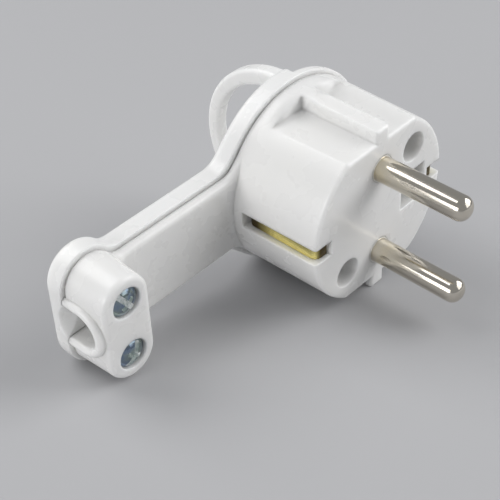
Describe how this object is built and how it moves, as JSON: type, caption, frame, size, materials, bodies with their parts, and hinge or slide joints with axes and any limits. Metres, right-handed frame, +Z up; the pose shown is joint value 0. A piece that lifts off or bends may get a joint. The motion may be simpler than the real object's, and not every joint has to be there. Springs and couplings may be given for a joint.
{
  "type": "flat electrical plug",
  "caption": "Flat earthed mains plug with round pins, side earth strips, an arm ending in a screwed cord clamp, and a pull loop on its back.",
  "frame": {"origin": "on the table, under the middle of the plug's box as it lies on its side", "axes": "+X the level direction in which the pins point, -Y towards the cord-clamp end, +Z up"},
  "size_m": [0.0628, 0.0772, 0.0389],
  "materials": {
    "casing_white": "semi-gloss moulded",
    "cover_white": "semi-gloss moulded",
    "pin_nickel": "nickel plated, polished",
    "earth_brass": "bright rolled strip",
    "screw_zinc": "bright zinc plated"
  },
  "bodies": {
    "root": {"base": "casing_white", "back_cover": "cover_white", "pin_upper": "pin_nickel", "pin_lower": "pin_nickel", "earth_bracket": "earth_brass", "earth_contact": "earth_brass", "earth_washer": "screw_zinc", "earth_screw": "screw_zinc", "terminal_screw_upper": "screw_zinc", "clamp_screw_upper": "screw_zinc", "clamp_nut_upper": "screw_zinc", "cover_screw_upper": "screw_zinc", "terminal_screw_lower": "screw_zinc", "clamp_screw_lower": "screw_zinc", "clamp_nut_lower": "screw_zinc", "cover_screw_lower": "screw_zinc"}
  },
  "joints": []
}
